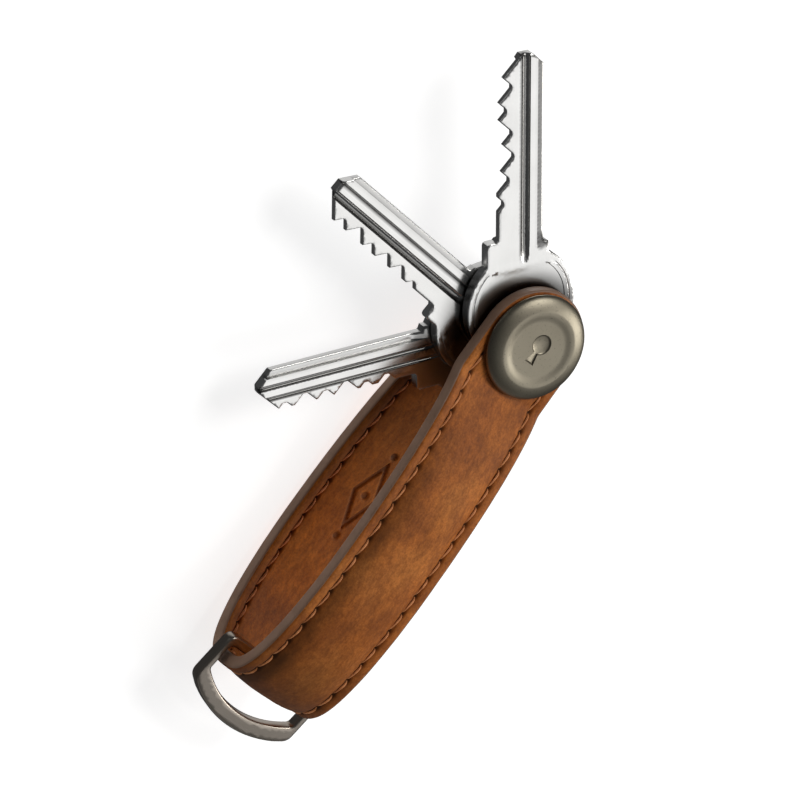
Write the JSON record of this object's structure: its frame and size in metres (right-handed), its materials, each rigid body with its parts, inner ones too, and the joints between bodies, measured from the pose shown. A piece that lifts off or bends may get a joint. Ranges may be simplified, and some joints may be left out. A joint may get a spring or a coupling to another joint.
{
  "type": "key organiser",
  "caption": "Folded leather key organiser: keys fan out on a clamped post between the strap's legs, and a D-ring hangs in the fold.",
  "frame": {"origin": "middle of the bounding box's underside, the surface that the organiser lies on", "axes": "+Y along the strap from the D-ring to the post, +Z along the post from the coin screw to the front button, +X across the strap to the side away from the fanned keys"},
  "size_m": [0.061, 0.123, 0.0212],
  "materials": {
    "outer_leather": "smooth oiled, matte",
    "inner_leather": "smooth oiled, matte",
    "stiffener": "raw fibre",
    "thread": "waxed thread",
    "olive_bronze": "satin plated",
    "gunmetal": "polished dark plating",
    "steel": "turned",
    "nickel": "nickel plated",
    "nylon": "moulded"
  },
  "bodies": {
    "strap": {"strap_outer_leather": "outer_leather", "strap_core": "stiffener", "strap_inner_leather": "inner_leather", "outer_stitch_left": "thread", "outer_stitch_right": "thread", "inner_stitch_left": "thread", "inner_stitch_right": "thread", "front_button": "olive_bronze", "threaded_post": "steel", "spring_washer": "steel", "front_washer": "nylon", "spacer_1_2": "nylon", "spacer_2_3": "nylon", "rear_washer": "nylon"},
    "key_1": {"key_1": "nickel"},
    "key_2": {"key_2": "nickel"},
    "key_3": {"key_3": "nickel"},
    "d_ring": {"d_ring": "gunmetal"},
    "rear_button": {"rear_button": "olive_bronze"},
    "clamp_screw": {"clamp_screw": "steel"}
  },
  "joints": [
    {"name": "key_1_swing", "type": "hinge", "parent": "strap", "child": "key_1", "pos_m": [0.01834, 0.0213, 0.013], "axis": [0, 0, 1], "continuous": true},
    {"name": "key_2_swing", "type": "hinge", "parent": "strap", "child": "key_2", "pos_m": [0.01834, 0.0213, 0.0106], "axis": [0, 0, 1], "continuous": true},
    {"name": "key_3_swing", "type": "hinge", "parent": "strap", "child": "key_3", "pos_m": [0.01834, 0.0213, 0.0082], "axis": [0, 0, 1], "continuous": true},
    {"name": "d_ring_swing", "type": "hinge", "parent": "strap", "child": "d_ring", "pos_m": [0.01834, -0.0489, 0.0106], "axis": [0.9995, -0.0314, 0], "range_deg": [-84, 66]},
    {"name": "rear_button_travel", "type": "slide", "parent": "strap", "child": "rear_button", "axis": [0, 0, -1], "range_m": [0, 0.0028]},
    {"name": "clamp_screw_turn", "type": "hinge", "parent": "rear_button", "child": "clamp_screw", "pos_m": [0.01834, 0.0213, 0.0026], "axis": [0, 0, -1], "range_deg": [0, 1440]}
  ],
  "couplings": [
    {"joint": "clamp_screw_turn", "follows": "rear_button_travel", "rad_per_m": 8975.9}
  ]
}
